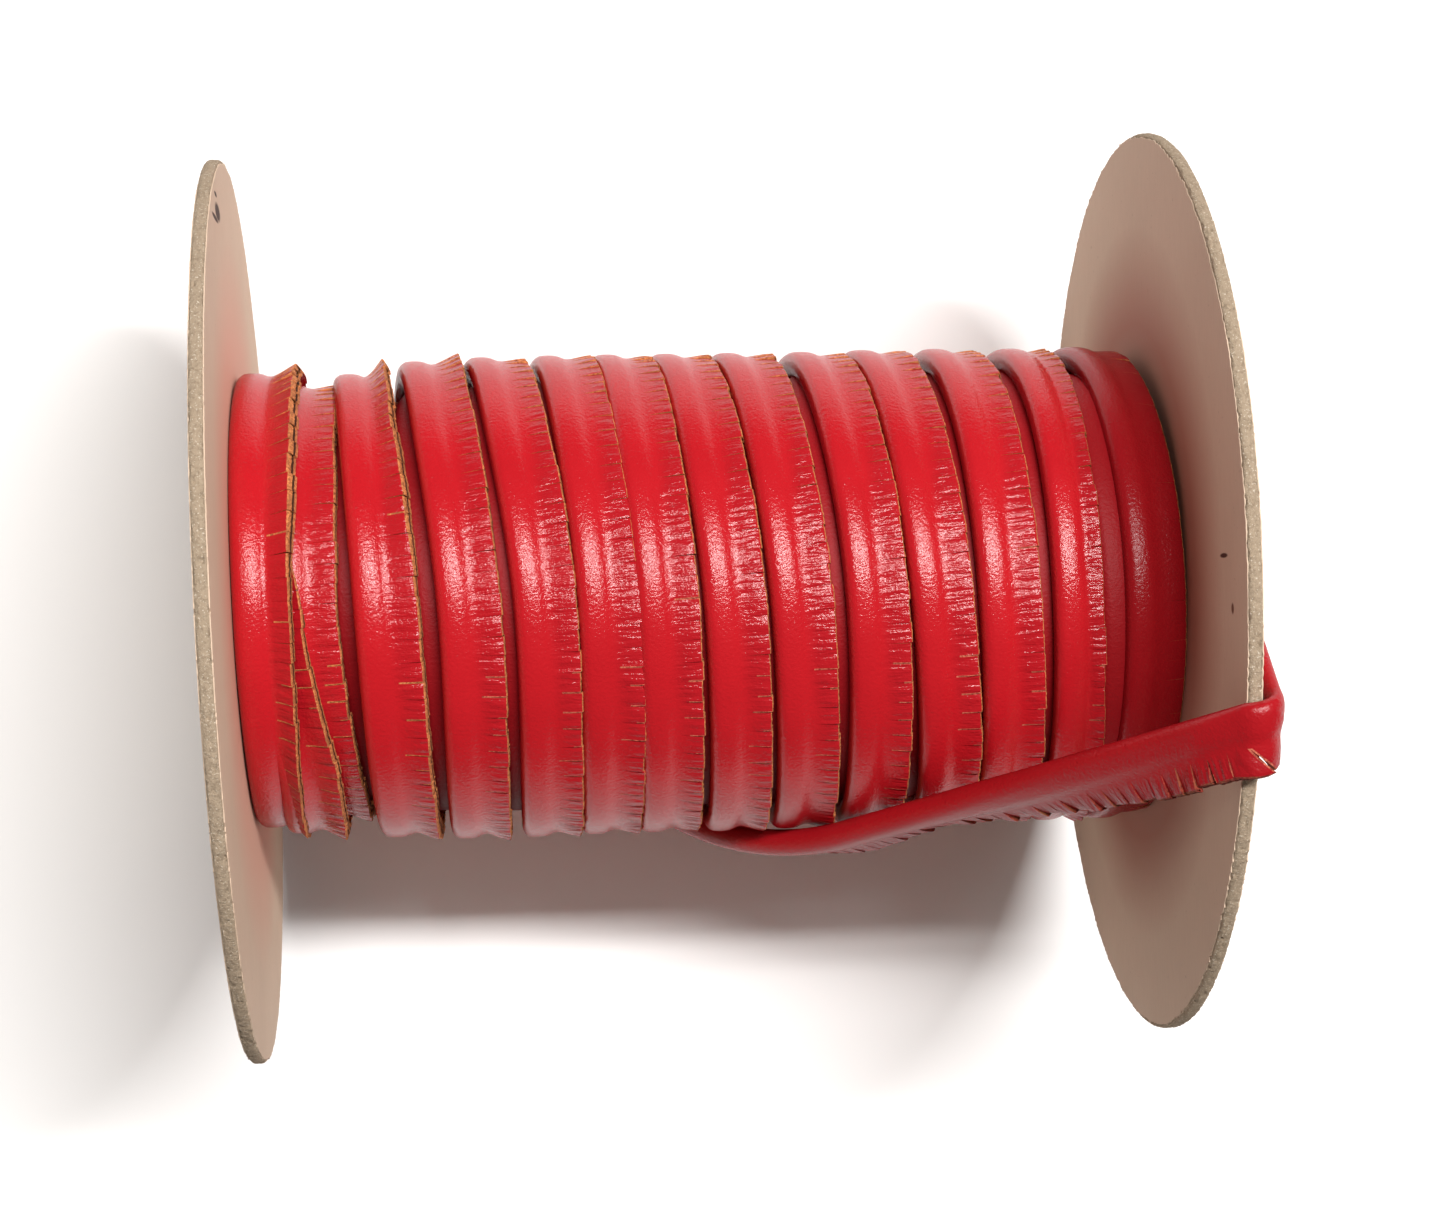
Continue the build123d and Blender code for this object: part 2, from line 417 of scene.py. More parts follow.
class Painter:
    """Short names for building a material's nodes."""

    def __init__(self, name):
        self.material = bpy.data.materials.new(name)
        self.material.use_nodes = True
        self.tree = self.material.node_tree
        self.surface = self.tree.nodes["Principled BSDF"]

    def node(self, kind, **inputs):
        made = self.tree.nodes.new(kind)
        for key, value in inputs.items():
            if isinstance(value, bpy.types.NodeSocket):
                self.tree.links.new(value, made.inputs[key.replace("_", " ")])
            else:
                made.inputs[key.replace("_", " ")].default_value = value
        return made

    def math(self, operation, first, second=0.0):
        made = self.tree.nodes.new("ShaderNodeMath")
        made.operation = operation
        for socket, value in zip(made.inputs, (first, second)):
            if isinstance(value, bpy.types.NodeSocket):
                self.tree.links.new(value, socket)
            else:
                socket.default_value = value
        return made.outputs[0]

    def mix(self, share, first, second):
        made = self.tree.nodes.new("ShaderNodeMix")
        made.data_type = "RGBA"
        for socket, value in ((0, share), (6, first), (7, second)):
            if isinstance(value, bpy.types.NodeSocket):
                self.tree.links.new(value, made.inputs[socket])
            else:
                made.inputs[socket].default_value = value
        return made.outputs[2]

    def ramp(self, value, low, high):
        made = self.node("ShaderNodeMapRange", Value=value)
        made.inputs["From Min"].default_value = low
        made.inputs["From Max"].default_value = high
        return made.outputs[0]

    def noise(self, vector, scale, detail=3.0, rough=0.55):
        made = self.node("ShaderNodeTexNoise", Vector=vector, Scale=scale, Detail=detail)
        made.inputs["Roughness"].default_value = rough
        return made.outputs["Fac"]

    def stretch(self, vector, x, y, z=1.0):
        made = self.tree.nodes.new("ShaderNodeMapping")
        self.tree.links.new(vector, made.inputs["Vector"])
        made.inputs["Scale"].default_value = (x, y, z)
        return made.outputs[0]

    def bump(self, height, distance, strength=1.0, normal=None):
        made = self.node("ShaderNodeBump", Height=height)
        made.inputs["Distance"].default_value = distance * MM
        made.inputs["Strength"].default_value = strength
        if normal is not None:
            self.tree.links.new(normal, made.inputs["Normal"])
        return made.outputs[0]

    def set(self, **inputs):
        for key, value in inputs.items():
            socket = self.surface.inputs[key.replace("_", " ")]
            if isinstance(value, bpy.types.NodeSocket):
                self.tree.links.new(value, socket)
            else:
                socket.default_value = value

    def place(self):
        """Object coordinates in millimetres."""
        found = self.tree.nodes.new("ShaderNodeTexCoord").outputs["Object"]
        return self.stretch(found, 1 / MM, 1 / MM, 1 / MM)


def colour(red, green, blue):
    """An sRGB colour given as 0-255, as linear RGBA."""
    parts = [v / 255 for v in (red, green, blue)]
    return tuple(
        p / 12.92 if p <= 0.04045 else ((p + 0.055) / 1.055) ** 2.4 for p in parts
    ) + (1.0,)


def paint_leather(name, roughness, shine, depth=1.0):
    """Glossy dyed leather, creased across the lip; a lower depth is a darker red, used as
    painted shade.
    """
    p = Painter(name)
    uv = p.tree.nodes.new("ShaderNodeUVMap")
    uv.uv_map = "strip"
    strip = uv.outputs[0]
    split = p.node("ShaderNodeSeparateXYZ", Vector=strip)
    across = split.outputs["Y"]
    place = p.place()
    lip = p.ramp(across, 4.9, 7.0)
    creases = p.noise(p.stretch(strip, 0.9, 0.14), 1.0, 2.0, 0.5)
    creases = p.ramp(creases, 0.36, 0.62)
    fine = p.noise(p.stretch(strip, 3.2, 1.1), 1.0, 3.0, 0.6)
    grain = p.noise(place, 1.9, 3.0, 0.55)
    broad = p.noise(place, 0.12, 2.0)
    normal = p.bump(p.math("MULTIPLY", creases, lip), 0.13)
    normal = p.bump(fine, 0.03, 1.0, normal)
    normal = p.bump(grain, 0.11, 1.0, normal)
    base = p.mix(broad, colour(172, 21, 29), colour(184, 26, 34))
    base = p.mix(p.math("MULTIPLY", lip, 0.4), base, colour(152, 20, 29))
    # Painted shade: a lower depth mixes in a dark red.
    base = p.mix(1 - depth, base, colour(60, 4, 8))
    slant = p.node("ShaderNodeLayerWeight", Blend=0.5).outputs["Facing"]
    matt = p.math("MULTIPLY", p.ramp(slant, 0.4, 0.9), 0.9 * shine)
    shine = p.math("SUBTRACT", shine, matt)
    p.set(Base_Color=base, Roughness=roughness, Normal=normal, Specular_IOR_Level=shine)
    return p.material


def paint_raw(name, dark, bright, blot):
    """The fibrous cut side of leather in three tones."""
    p = Painter(name)
    place = p.place()
    fibres = p.noise(place, 2.2, 4.0, 0.7)
    blots = p.noise(place, 0.35, 2.0)
    base = p.mix(p.ramp(fibres, 0.35, 0.62), dark, bright)
    base = p.mix(p.ramp(blots, 0.5, 0.75), base, blot)
    p.set(Base_Color=base, Roughness=0.9, Specular_IOR_Level=0.2)
    p.set(Normal=p.bump(fibres, 0.2))
    return p.material


def paint_cotton():
    """Undyed twisted cotton."""
    p = Painter("filler_cord")
    place = p.place()
    strands = p.noise(p.stretch(place, 1.0, 3.0, 3.0), 1.2, 3.0)
    base = p.mix(strands, colour(196, 188, 172), colour(236, 230, 218))
    p.set(Base_Color=base, Roughness=0.95, Normal=p.bump(strands, 0.3))
    return p.material


# Radii in mm where the liners' painted shade and painted red bounce light round the winding is
# full and where it ends.
SHADE_FROM = 44.0
SHADE_TO = 61.0


def paint_liner(name, shade_and_bounce, marks=()):
    """Pale paper, with painted shade and painted red bounce light round the winding.

    Marks are (centre, half sizes, tint) of specks on it.
    """
    p = Painter(name)
    place = p.place()
    fibres = p.noise(p.stretch(place, 1.0, 0.25, 2.2), 0.9, 5.0, 0.65)
    cloud = p.noise(place, 0.035, 3.0)
    fleck = p.noise(place, 1.1, 2.0, 0.5)
    base = p.mix(cloud, colour(206, 182, 158), colour(221, 198, 174))
    base = p.mix(p.math("MULTIPLY", fibres, 0.35), base, colour(178, 150, 128))
    dark = p.math("MULTIPLY", p.ramp(fleck, 0.70, 0.78), 0.35)
    base = p.mix(dark, base, colour(140, 112, 92))

    def distance(centre, sizes):
        """Distance from a centre, in half sizes."""
        moved = p.tree.nodes.new("ShaderNodeMapping")
        moved.vector_type = "TEXTURE"
        moved.inputs["Location"].default_value = centre
        moved.inputs["Scale"].default_value = sizes
        p.tree.links.new(place, moved.inputs["Vector"])
        reach = p.tree.nodes.new("ShaderNodeVectorMath")
        reach.operation = "LENGTH"
        p.tree.links.new(moved.outputs[0], reach.inputs[0])
        return reach.outputs["Value"]

    from_axis = distance((0, 0, 0), (1e6, 1, 1))
    # Painted shade and painted red bounce light towards the winding.
    base = p.mix(p.ramp(from_axis, SHADE_TO, SHADE_FROM), base, shade_and_bounce)
    for centre, sizes, tint in marks:
        base = p.mix(p.ramp(distance(centre, sizes), 1.15, 0.75), base, tint)
    p.set(Base_Color=base, Roughness=0.78, Specular_IOR_Level=0.3)
    p.set(Normal=p.bump(fibres, 0.05))
    return p.material


def paint_board():
    """Grey-brown chipboard with plies that show on its edge, and pale flecks."""
    p = Painter("chipboard")
    place = p.place()
    plies = p.noise(p.stretch(place, 3.0, 0.35, 0.35), 1.0, 4.0, 0.7)
    fibre = p.noise(place, 1.6, 5.0, 0.7)
    base = p.mix(plies, colour(152, 134, 112), colour(184, 163, 140))
    base = p.mix(p.ramp(fibre, 0.5, 0.8), base, colour(120, 102, 82))
    flecks = p.noise(place, 3.1, 2.0, 0.6)
    base = p.mix(p.ramp(flecks, 0.6, 0.7), base, colour(214, 200, 180))
    p.set(Base_Color=base, Roughness=0.95, Specular_IOR_Level=0.2)
    p.set(Normal=p.bump(fibre, 0.35))
    return p.material


def paint_kraft():
    """Brown spirally wound paper."""
    p = Painter("core_board")
    place = p.place()
    wound = p.noise(p.stretch(place, 0.4, 1.0, 1.0), 0.8, 4.0)
    base = p.mix(wound, colour(150, 118, 86), colour(184, 150, 114))
    p.set(Base_Color=base, Roughness=0.9, Normal=p.bump(wound, 0.08))
    return p.material


leather = paint_leather("red_leather", 0.18, 0.33)
# The under turns' leather is painted darker: painted shade in the gaps between the outer turns.
under_turn_painted_shade_leather = paint_leather("under_red_leather_painted_shade", 0.5, 0.15, 0.6)
# The last turn's leather is painted darker: painted shade beside the right flange.
last_turn_painted_shade_leather = paint_leather("last_turn_red_leather_painted_shade", 0.24, 0.22, 0.66)
# The tail's leather is painted darker: painted shade where the tail faces away from the key
# light.
tail_painted_shade_leather = paint_leather("tail_red_leather_painted_shade", 0.26, 0.28, 0.8)
raw_leather = paint_raw(
    "raw_leather_edge", colour(126, 64, 38), colour(220, 138, 84), colour(150, 90, 56)
)
snip_line = paint_raw(
    "snip_line", colour(112, 26, 22), colour(216, 118, 92), colour(160, 70, 56)
)
dyed_edge = paint_raw(
    "dyed_leather_edge", colour(92, 18, 20), colour(166, 70, 54), colour(150, 92, 62)
)
# Painted shade: a dark tone for the groove between the two plies of the raw edge.
groove_painted_shade = paint_raw("groove_painted_shade", colour(44, 20, 14), colour(92, 50, 32), colour(66, 32, 22))
cotton = paint_cotton()
speck = colour(70, 42, 30)
scratch = colour(112, 78, 62)
# The marks' places in x are on the leaning inner faces.
LEFT_MARKS, RIGHT_MARKS, MARK_DEPTH = -76.8, 75.0, 3.0
# Each liner's tint round the winding is painted shade and painted red bounce light; on the outer
# faces it is close to the plain paper.
liner_paper = {
    "left": paint_liner("left_liner_paper", colour(216, 170, 148), [
        ((LEFT_MARKS, 61.8, 25.5), (MARK_DEPTH, 1.4, 5.0), speck),
        ((LEFT_MARKS, 60.2, 31.0), (MARK_DEPTH, 0.45, 6.0), speck),
        ((LEFT_MARKS, 64.3, 28.0), (MARK_DEPTH, 0.4, 2.5), speck),
    ]),
    "right": paint_liner("right_liner_paper", colour(174, 120, 100), [
        ((RIGHT_MARKS, 3.2, 62.0), (MARK_DEPTH, 0.4, 2.4), speck),
        ((RIGHT_MARKS, -4.8, 66.5), (MARK_DEPTH, 0.9, 0.8), scratch),
    ]),
    "outer": paint_liner("outer_liner_paper", colour(214, 190, 166)),
}
chipboard = paint_board()
core_board = paint_kraft()

for node in ("core_tube", "core_tube_wrap"):
    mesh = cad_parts[node].data
    mesh.materials.clear()
    mesh.materials.append(core_board)

# ------------------------------------------------------------------------ outer winding
# Left edges of the outer turns at three angles round the reel. The hand-wound turns are uneven.
FRONT_ANGLES = (40.6, 92.1, 146.7)
LEFT_EDGES = [
    (-76.2, -75.5, -74.6),
    (-75.0, -74.9, -69.9),
    (-69.6, -69.3, -66.6),
    (-59.2, -57.0, -55.1),
    (-47.7, -44.1, -43.1),
    (-36.4, -32.3, -31.3),
    (-25.6, -22.4, -21.5),
    (-16.0, -13.3, -11.9),
    (-5.9, -2.7, -0.8),
    (4.5, 7.8, 10.1),
    (16.9, 19.8, 21.5),
    (27.2, 30.1, 33.3),
    (39.1, 40.9, 43.5),
    (51.9, 52.8, 54.6),
    (63.2, 64.4, 65.0),
]
TURNS = len(LEFT_EDGES)
LAST = TURNS - 1
WINDING_START = -20.0
WINDING_END = LAST * 360 + 250.0
START_LEFT, END_LEFT = -76.2, 65.2
START_RADIUS = 36.2
# The first turns lie low, where the layer below is not full; the others keep the layer's radius.
RADIUS_ANGLES = (0.0, 92.0, 147.0, 180.0, 270.0)
LOW_RADII = {
    0: (36.0, 36.4, 35.5, 35.2, 35.6),
    1: (31.5, 33.6, 36.0, 36.5, 35.6),
    2: (34.0, 34.6, 33.9, 34.4, 35.2),
    3: (35.5, 36.7, 37.4, 37.6, 37.8),
    4: (37.6, 37.9, 38.1, 38.1, 38.1),
}

knots, lefts = [WINDING_START], [START_LEFT]
for turn, row in enumerate(LEFT_EDGES):
    for angle, left in zip(FRONT_ANGLES, row):
        knots.append(turn * 360 + angle)
        lefts.append(left)
knots.append(WINDING_END)
lefts.append(END_LEFT)
outer_left = curve(knots, lefts)

r_knots, radii = [WINDING_START], [START_RADIUS]
for turn in range(TURNS):
    for angle, value in zip(RADIUS_ANGLES, LOW_RADII.get(turn, (LAYER_3,) * 5)):
        r_knots.append(turn * 360 + angle)
        radii.append(value)
outer_radius = curve(r_knots, radii)

outer_path = WoundPath(
    WINDING_START,
    WINDING_END,
    lambda angle: outer_left(angle) + BEAD,
    lambda angle: outer_radius(angle) + 0.12 * wave(angle, 3, [131, 217, 470]),
    seed=2,
)

# How far each turn's lip edge stands out, at angles round the turn, and how its edge slants.
FLARE_ANGLES = (-20, 0, 22, 60, 92, 147, 180, 215, 340)
FLARES = {
    0: (1.4, 1.9, 1.9, 1.9, 1.9, 2.2, 2.3, 0.6, 0.3),
    1: (0.5, 1.5, 1.8, 2.0, 2.3, 0.9, 1.2, 0.2, 0.1),
    2: (0.1, 0.3, 0.1, 0.1, 0.1, 0.0, 0.0, 0.1, 0.5),
    3: (1.6, 3.0, 2.0, 0.9, 0.3, 0.4, 0.7, 0.2, 0.3),
    4: (0.8, 1.6, 1.0, 0.3, 0.1, 0.1, 0.2, 0.1, 0.1),
    LAST: (0.0, -0.4, -0.9, -1.2, -1.2, -1.2, -1.0, -0.6, 0.0),
}
USUAL_FLARES = (0.0, 0.1, 0.1, 0.1, 0.1, 0.1, 0.15, 0.05, 0.0)
BEVELS = {0: 1.25, 1: 0.42, 2: 0.4, 3: 1.05}
USUAL_BEVEL = 0.3


def outer_reach(turn, local):
    """How much longer the lip is; it is pressed short where the next turn crowds it."""
    first = -0.2 - 1.0 * smooth(45, 92, local) - 0.6 * smooth(110, 147, local)
    near_last = -1.2 - 0.7 * smooth(20, 60, local) + 0.4 * smooth(110, 147, local)
    reach = np.where(turn == 0, first, 0 * local)
    reach = np.where(turn == LAST - 1, near_last, reach)
    reach = np.where(turn == 1, -1.6 * (1 - smooth(74, 94, local)), reach)
    return np.where(turn == 3, -1.6 * (1 - smooth(30, 95, local)), reach)


def outer_shape(s, snip):
    """Snips open towards the bottom; the lip is creased in the middle of the front."""
    angle = outer_path.angle(s)
    turn = np.clip(np.floor((angle - WINDING_START) / 360), 0, LAST).astype(int)
    local = angle - 360 * turn
    flare = 0 * s
    bevel = 0 * s + USUAL_BEVEL
    for n in range(TURNS):
        table = curve(FLARE_ANGLES, FLARES.get(n, USUAL_FLARES))
        extra = 0.0 if n in FLARES else 0.25 * wave(local, 40 + n, [57, 96, 160])
        flare = np.where(turn == n, table(local) + extra, flare)
        if n in BEVELS:
            bevel = np.where(turn == n, BEVELS[n], bevel)
    bevel = bevel * (1 - 0.62 * smooth(66, 94, local) * (turn != 1))
    below = smooth(96, 118, local) * (1 - smooth(185, 230, local))
    bottom = smooth(150, 172, local) * (1 - smooth(190, 230, local))
    crest = (1 - smooth(8, 30, local)) + smooth(330, 345, local)
    rnd, rnd2 = chance(snip, 1), chance(snip, 2)
    lift = (rnd - 0.5) * (0.16 + 0.5 * bottom + 0.3 * crest)
    tilt = 0.10 + 0.10 * below + 0.4 * bottom * (0.4 + rnd2) + 0.15 * crest * rnd2
    gap = 0.02 + 0.075 * below + 0.13 * bottom + 0.03 * crest
    gap = gap * (0.5 + chance(snip, 3))
    skew = (chance(snip, 4) - 0.5) * (0.15 + 0.5 * bottom)
    bare = np.where(below > 0.5, chance(snip, 6) < 0.85, chance(snip, 6) < 0.03)
    plain = turn == LAST
    gap, bare, tilt = gap * ~plain, bare * ~plain, tilt * ~plain
    middle = smooth(45, 75, local) * (1 - smooth(108, 130, local))
    return {
        "flare": flare,
        "bevel": bevel,
        "reach": outer_reach(turn, local),
        "lift": lift,
        "tilt": tilt,
        "crown": 0.05 + 0.05 * rnd,
        "gap": gap,
        "skew": skew,
        "uneven": (chance(snip, 16) - 0.5) * 0.34 * ~plain,
        "wrinkle": (0.025 + 0.065 * middle) * ~plain,
        "calm": 2.0 * (1 - middle) + 6.0 * plain,
        "bare": bare,
    }


def snips_before(s):
    return int(s / SNIP_SPACING)


PIECE_ENDS = -60.0
CORD_SHORT = 4.0
OPEN_TURNS = 4

cuts = [0]
for turn in range(1, TURNS):
    cuts.append(snips_before(outer_path.s_of(turn * 360 + PIECE_ENDS)))
cuts.append(snips_before(outer_path.length) - 1)
for number, (low, high) in enumerate(zip(cuts[:-1], cuts[1:]), 1):
    # The last turn is painted darker, as painted shade beside the right flange.
    skin = last_turn_painted_shade_leather if number == TURNS else leather
    line = raw_leather if number <= OPEN_TURNS else snip_line
    paints = [skin, raw_leather, line, groove_painted_shade]
    piece = build_strip(
        f"outer_turn_{number:02d}", outer_path, (low, high), outer_shape, paints
    )
    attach(piece, "spool")
    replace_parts(piece, "layer_3_leather")
piece = build_cord("outer_winding_cord", outer_path, 1.0, outer_path.length - CORD_SHORT)
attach(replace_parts(piece, "layer_3_cord"), "spool")

# ------------------------------------------------------------------------ under winding
# In front the beads of the layer below show in the gaps between the outer turns, so each of its
# turns is led along a gap, from the last gap back to the first.
UNDER_TURNS = 12
STRIP_WIDTH = 10.0
FIRST_SUNK, SUNK = (1.7, 1.7, 1.7), (3.3, 3.3, 4.1)
FIRST_SHIFT = -0.95
UNDER_BACK_RADIUS = 33.4
UNDER_BACK = ((230.0, -1.0), (320.0, -9.0))

knots, lefts, radii = [12.0], [60.4], [LAYER_3 - 4.4]
for turn in range(UNDER_TURNS):
    right = LAST - turn
    shift, sunk = (FIRST_SHIFT, FIRST_SUNK) if turn == 0 else (0.0, SUNK)
    for i, angle in enumerate(FRONT_ANGLES):
        gap_at = (LEFT_EDGES[right - 1][i] + STRIP_WIDTH + LEFT_EDGES[right][i]) / 2
        knots.append(turn * 360 + angle)
        lefts.append(gap_at - BEAD + shift)
        radii.append(outer_radius((right - 1) * 360 + angle) - sunk[i])
    front_left = lefts[-1]
    for angle, back in UNDER_BACK:
        knots.append(turn * 360 + angle)
        lefts.append(front_left + back)
        radii.append(UNDER_BACK_RADIUS)
under_left = curve(knots, lefts)
under_radius = curve(knots, radii)
under_path = WoundPath(
    0.0, UNDER_TURNS * 360 - 40.0, lambda a: under_left(a) + BEAD, under_radius, seed=5
)


def under_shape(s, snip):
    """Hidden turns lie flat and closed."""
    return {
        "flare": -1.6,
        "bevel": 0.2,
        "reach": 0.0,
        "lift": (chance(snip, 7) - 0.5) * 0.2,
        "tilt": 0.05,
        "crown": 0.05,
        "gap": 0.03,
        "skew": 0.0,
        "uneven": 0.0,
        "wrinkle": 0.03,
        "calm": 0.0,
        "bare": 0.0,
    }


under_paints = [under_turn_painted_shade_leather, raw_leather, raw_leather, groove_painted_shade]
last = snips_before(under_path.length) - 1
third = last // 3
for number, top_cell in enumerate((third, 2 * third, last)):
    piece = build_strip(
        f"under_winding_{number + 1}", under_path, (third * number, top_cell),
        under_shape, under_paints, columns=2,
    )
    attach(piece, "spool")
    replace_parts(piece, "layer_2_leather")
piece = build_cord("under_winding_cord", under_path, 1.0, under_path.length - CORD_SHORT)
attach(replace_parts(piece, "layer_2_cord"), "spool")

# The innermost layer is a plain helix.
INNER_TURNS = 13
INNER_START = -72.6
INNER_PITCH = 10.6
inner_path = WoundPath(
    0.0, INNER_TURNS * 360.0, lambda a: INNER_START + INNER_PITCH * a / 360,
    lambda a: LAYER_1 + 0 * a, seed=7,
)
last = snips_before(inner_path.length) - 1
piece = build_strip(
    "inner_winding", inner_path, (0, last), under_shape, under_paints, 2, thin=3
)
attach(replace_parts(piece, "layer_1_leather"), "spool")
piece = build_cord(
    "inner_winding_cord", inner_path, 1.0, inner_path.length - CORD_SHORT, 2.5, 8
)
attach(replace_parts(piece, "layer_1_cord"), "spool")

# ------------------------------------------------- crossover, free run and tucked end
# The strip climbs on a slope, leaves the winding, runs straight to the rim of the right flange
# while it turns about its bead, folds over the rim and lies on the flange's outer face.
CROSS_SLOPE = 0.795
LEAVE_ANGLE = 162.5
RIM_ANGLE = 105.5
FLAT_RUN = 6.0
TWIST_END = 9.0
END_LENGTH = 55.0
FOLD_RADIUS = 1.3
FOLD_SQUEEZE = 0.42
RIM_GAP = 0.25
# How gently the crossover's slope eases into the first outer turn.
CROSS_SETTLE = 3.0


def along_x(x):
    return np.array([x, 0.0, 0.0])


leave = math.radians(LEAVE_ANGLE)
leave_out = np.array([0, math.cos(leave), math.sin(leave)])
leave_ahead = np.array([0, math.sin(leave), -math.cos(leave)])
run_along = unit(along_x(CROSS_SLOPE) + leave_ahead)
leave_lip = np.cross(run_along, leave_out)
rim = math.radians(RIM_ANGLE)
rim_radial = np.array([0, math.cos(rim), math.sin(rim)])
rim_tangent = np.array([0, math.sin(rim), -math.cos(rim)])
rim_out = unit(np.cross(run_along, rim_tangent))
rim_lip = np.cross(run_along, rim_out)
rim_ahead = np.cross(rim_tangent, rim_out)
run_twist = math.atan2(
    np.dot(np.cross(leave_lip, rim_lip), run_along), np.dot(leave_lip, rim_lip)
)
rim_corner = along_x(INNER_FACE) + rim_radial * FLANGE_RADIUS + rim_out * RIM_GAP
leave_point = leave_out * CROSS
leave_x = (np.dot(rim_corner - leave_point, rim_out) + BEAD) / rim_out[0]
leave_point = leave_point + along_x(leave_x)
fold_line = rim_corner + rim_ahead * (OUTER_FACE + RIM_GAP - rim_corner[0]) / rim_ahead[0]
run_length = np.dot(fold_line - leave_point + rim_out * BEAD, rim_ahead) / np.dot(
    run_along, rim_ahead
)
fold_turn = math.acos(rim_out[0])
fold_tangent = FOLD_RADIUS * math.tan(fold_turn / 2)

# The real flanges lean a little: x shift per mm of y and of z.
LEFT_LEAN = (-0.0246, -0.0017)
RIGHT_LEAN = (-0.0023, -0.0218)


def cross_x(angle):
    """A straight slope that eases into the first outer turn."""
    line = leave_x - CROSS_SLOPE * CROSS * np.radians(angle - LEAVE_ANGLE + 360)
    lowest = outer_left(0.0) + BEAD
    above = np.clip((line - lowest) / CROSS_SETTLE, -30, 60)
    return lowest + CROSS_SETTLE * np.log1p(np.exp(above))


def cross_radius(angle):
    """Down from above the winding to the first outer turn."""
    return CROSS + (START_RADIUS - CROSS) * smooth(-75, -22, angle)


cross_path = WoundPath(
    WINDING_START, LEAVE_ANGLE - 360, cross_x, cross_radius, seed=11
)


class TailPath:
    """The crossover, then a straight run that turns about its bead, then the fold."""

    seed = 11

    def __init__(self):
        self.start = cross_path.length
        self.length = self.start + run_length + END_LENGTH

    def place(self, s, a, b, along):
        wound = cross_path.place(np.minimum(s, self.start), a, b, along)
        t = (s - self.start)[..., None]
        twist = run_twist * smooth(FLAT_RUN, run_length - TWIST_END, t)
        side = np.cross(run_along, leave_lip)
        lip = leave_lip * np.cos(twist)[..., None] + side * np.sin(twist)[..., None]
        out = np.cross(lip, run_along)
        p = (
            leave_point
            + run_along * (t + along)[..., None]
            + lip * a[..., None]
            + out * b[..., None]
        )
        rel = p - fold_line
        q = rel @ rim_ahead + fold_tangent
        height = rel @ rim_out
        height = height * (1 - FOLD_SQUEEZE * smooth(-8, 5, q))
        arc = np.clip(q / FOLD_RADIUS, 0, fold_turn)[..., None]
        rest = (np.maximum(q - FOLD_RADIUS * fold_turn, 0) + np.minimum(q, 0))[..., None]
        normal = rim_out * np.cos(arc) + rim_ahead * np.sin(arc)
        onward = rim_ahead * np.cos(arc) - rim_out * np.sin(arc)
        centre = fold_line - rim_ahead * fold_tangent - rim_out * FOLD_RADIUS
        p = (
            centre
            + normal * (FOLD_RADIUS + height)[..., None]
            + onward * rest
            + rim_tangent * (rel @ rim_tangent)[..., None]
        )
        lean = RIGHT_LEAN[0] * p[..., 1] + RIGHT_LEAN[1] * p[..., 2]
        share = smooth(0, run_length, t) + 0 * lean
        p = p + np.stack([lean * share, 0 * lean, 0 * lean], -1)
        return np.where((t > 0)[..., None], p, wound)


tail_path = TailPath()


def tail_shape(s, snip):
    """The lip droops and frays along the free run and flattens over the rim."""
    t = s - tail_path.start
    rim_near = smooth(run_length - 34, run_length - 8, t) * (
        1 - smooth(run_length + 8, run_length + 22, t)
    )
    run = smooth(0, 20, t) * (1 - smooth(run_length + 2, run_length + 12, t))
    rnd, rnd2 = chance(snip, 11), chance(snip, 12)
    return {
        "flare": 0.1 + run * (0.4 * wave(t, 21, [23, 37]) - 1.5) * (1 - rim_near)
        + 0.4 * rim_near,
        "bevel": 0.3 + 0.3 * run,
        "reach": 0.0,
        "lift": (rnd - 0.5) * (0.15 + 0.6 * run + 0.2 * rim_near),
        "tilt": 0.06 + 0.22 * run * rnd2 + 0.15 * rim_near * rnd2,
        "crown": 0.05 + 0.12 * run * rnd,
        "gap": (0.02 + 0.03 * run + 0.05 * rim_near) * (0.5 + chance(snip, 13)),
        "skew": (chance(snip, 14) - 0.5) * (0.15 + 0.3 * run + 0.2 * rim_near),
        "uneven": (chance(snip, 17) - 0.5) * (0.2 + 0.5 * run),
        "wrinkle": 0.04,
        "calm": 1.0,
        "bare": rim_near > 0.5,
    }


# The free run starts before the strip leaves the winding, and the end before the fold.
RUN_LEAD = 12
END_LEAD = 30
lead_cell = snips_before(tail_path.start - RUN_LEAD)
seam_cell = snips_before(tail_path.start + run_length - END_LEAD)
end_cell = snips_before(tail_path.length)
TAIL_PARTS = [
    ("crossover", (1, lead_cell), "spool", None),
    ("tail_run", (lead_cell, seam_cell), "spool", "tail_run"),
    ("tail_end", (seam_cell, end_cell), "tail_run", "tail_end"),
]

CORD_SHOWS = 0.15
# The tail's darker leather is painted shade.
tail_paints = [tail_painted_shade_leather, dyed_edge, snip_line, groove_painted_shade]
for name, (low, high), body, next_body in TAIL_PARTS:
    skin = build_strip(f"{name}_skin", tail_path, (low, high), tail_shape, tail_paints)
    ends = snip_places(np.array([low, high]), tail_path.seed)
    shown = CORD_SHOWS if name == "tail_end" else 0.0
    cord = build_cord(f"{name}_filler", tail_path, ends[0], ends[1] + shown, 0.8, 12)
    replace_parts(skin, f"{name}_leather")
    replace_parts(cord, f"{name}_cord")
    for piece in (skin, cord):
        if next_body is None:
            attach(piece, body)
        else:
            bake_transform(piece)

# ------------------------------------------------------------------------------ flanges
AROUND = 900
# The left disc stands lower at the top than a true circle would.
LEFT_WORN = 1.45


def ragged(rng, turn):
    """Gentle unevenness round a rim: sines of whole counts."""
    total = 0 * turn
    for waves, amount in ((3, 0.12), (7, 0.08), (17, 0.06), (41, 0.05)):
        total += amount * np.sin(waves * turn + rng.uniform(0, 6.28))
    return total


